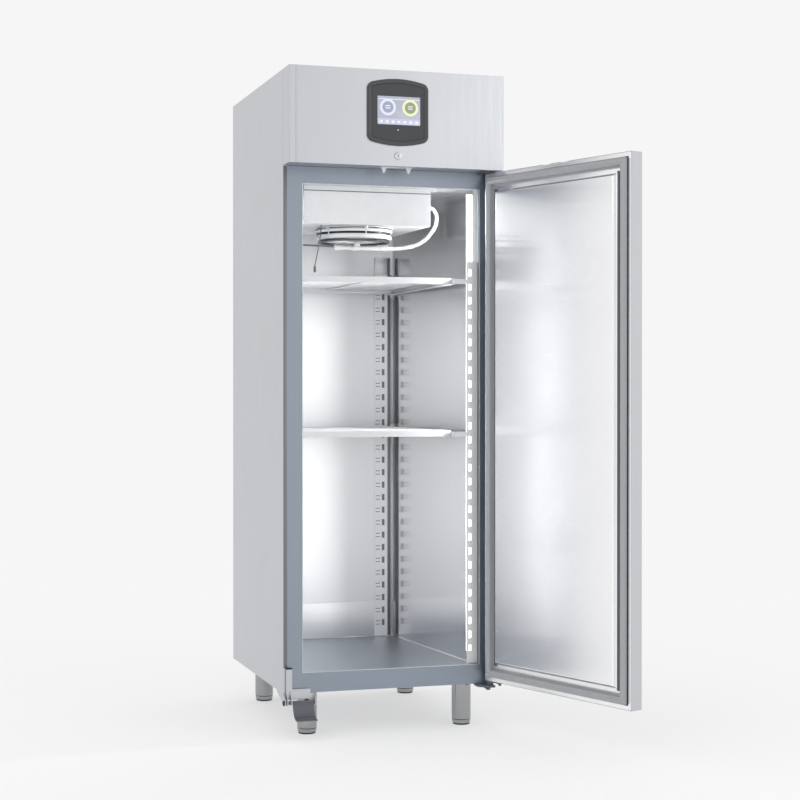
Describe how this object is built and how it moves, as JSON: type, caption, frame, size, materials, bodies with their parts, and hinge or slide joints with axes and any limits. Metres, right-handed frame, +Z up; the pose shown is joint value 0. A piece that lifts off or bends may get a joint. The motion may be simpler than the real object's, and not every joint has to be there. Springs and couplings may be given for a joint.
{
  "type": "proofing cabinet",
  "caption": "Upright insulated dough proofing cabinet on levelling legs, with a hinged door, slide-out wire shelves, a control panel over the door and a foot pedal that opens it.",
  "frame": {"origin": "on the floor, under the middle of the footprint with the door swung open to 109 degrees", "axes": "+X to the viewer's right along the front, +Y from the front to the back, +Z up"},
  "size_m": [0.936, 1.4087, 2.08],
  "materials": {
    "outer_steel": "satin",
    "frame_steel": "satin",
    "inner_steel": "satin",
    "floor_steel": "satin",
    "polished_steel": "polished",
    "foot_steel": "matte",
    "white_coating": "satin",
    "dark_steel": "satin",
    "machinery": "satin",
    "white_plastic": "satin",
    "black_plastic": "gloss",
    "light_diffuser": "matte",
    "screen_glass": "gloss",
    "gasket_rubber": "matte",
    "black_rubber": "matte",
    "foam": "matte"
  },
  "bodies": {
    "cabinet": {"side_panel_left": "outer_steel", "side_panel_right": "outer_steel", "back_panel": "outer_steel", "base_panel": "outer_steel", "top_cover": "outer_steel", "front_frame": "frame_steel", "liner_left": "inner_steel", "liner_right": "inner_steel", "liner_back": "inner_steel", "liner_ceiling": "inner_steel", "floor_pan": "floor_steel", "insulation": "foam", "air_duct_panel": "inner_steel", "upright_front_left": "inner_steel", "upright_front_right": "inner_steel", "upright_rear_left": "inner_steel", "upright_rear_right": "inner_steel", "led_strip": "light_diffuser", "runner_upper_left": "inner_steel", "runner_upper_right": "inner_steel", "runner_lower_left": "inner_steel", "runner_lower_right": "inner_steel", "evaporator_rail": "inner_steel", "evaporator_cover": "inner_steel", "fan_motor": "black_plastic", "fan_guard": "white_coating", "ring_heater": "polished_steel", "steam_bar": "white_plastic", "steam_hose": "white_plastic", "temperature_probe": "black_plastic", "condensing_unit": "machinery", "leg_front_left": "polished_steel", "leg_front_right": "polished_steel", "leg_rear_left": "polished_steel", "leg_rear_right": "polished_steel", "pedal_bracket": "outer_steel", "hinge_bracket_top": "dark_steel", "hinge_bracket_bottom": "dark_steel"},
    "door": {"door_skin": "outer_steel", "door_core": "foam", "door_inner_panel": "inner_steel", "door_gasket": "gasket_rubber", "door_grip": "polished_steel", "door_stop": "dark_steel"},
    "control_panel": {"control_panel": "outer_steel", "display_bezel": "black_plastic", "display_unit": "screen_glass", "catch_bracket": "white_plastic"},
    "lock_barrel": {"lock_barrel": "polished_steel", "lock_cam": "polished_steel"},
    "pedal": {"pedal_lever": "dark_steel", "pusher_plate": "outer_steel", "pusher_buffer": "black_rubber"},
    "fan": {"fan_impeller": "black_plastic"},
    "shelf_upper": {"shelf_upper": "white_coating"},
    "shelf_lower": {"shelf_lower": "white_coating"},
    "foot_front_left": {"foot_front_left": "foot_steel"},
    "foot_front_right": {"foot_front_right": "foot_steel"},
    "foot_rear_left": {"foot_rear_left": "foot_steel"},
    "foot_rear_right": {"foot_rear_right": "foot_steel"}
  },
  "joints": [
    {"name": "door_hinge", "type": "hinge", "parent": "cabinet", "child": "door", "pos_m": [0.2108, -0.0765, 0.96], "axis": [0, 0, 1], "range_deg": [-109, 11]},
    {"name": "pedal_hinge", "type": "hinge", "parent": "cabinet", "child": "pedal", "pos_m": [-0.416, -0.064, 0.1115], "axis": [1, 0, 0], "range_deg": [0, 18], "stiffness_Nm_per_rad": 4, "springref_deg": -20.05},
    {"name": "control_panel_hinge", "type": "hinge", "parent": "cabinet", "child": "control_panel", "pos_m": [-0.114, -0.0505, 2.079], "axis": [-1, 0, 0], "range_deg": [0, 75]},
    {"name": "lock_turn", "type": "hinge", "parent": "control_panel", "child": "lock_barrel", "pos_m": [-0.116, -0.132, 1.813], "axis": [0, 1, 0], "range_deg": [0, 90]},
    {"name": "fan_spin", "type": "hinge", "parent": "cabinet", "child": "fan", "pos_m": [-0.183, 0.138, 1.625], "axis": [0, 0, 1], "continuous": true},
    {"name": "shelf_upper_slide", "type": "slide", "parent": "cabinet", "child": "shelf_upper", "axis": [0, -1, 0], "range_m": [0, 0.4]},
    {"name": "shelf_lower_slide", "type": "slide", "parent": "cabinet", "child": "shelf_lower", "axis": [0, -1, 0], "range_m": [0, 0.4]},
    {"name": "foot_front_left_height", "type": "slide", "parent": "cabinet", "child": "foot_front_left", "axis": [0, 0, -1], "range_m": [0, 0.04]},
    {"name": "foot_front_right_height", "type": "slide", "parent": "cabinet", "child": "foot_front_right", "axis": [0, 0, -1], "range_m": [0, 0.04]},
    {"name": "foot_rear_left_height", "type": "slide", "parent": "cabinet", "child": "foot_rear_left", "axis": [0, 0, -1], "range_m": [0, 0.04]},
    {"name": "foot_rear_right_height", "type": "slide", "parent": "cabinet", "child": "foot_rear_right", "axis": [0, 0, -1], "range_m": [0, 0.04]}
  ]
}
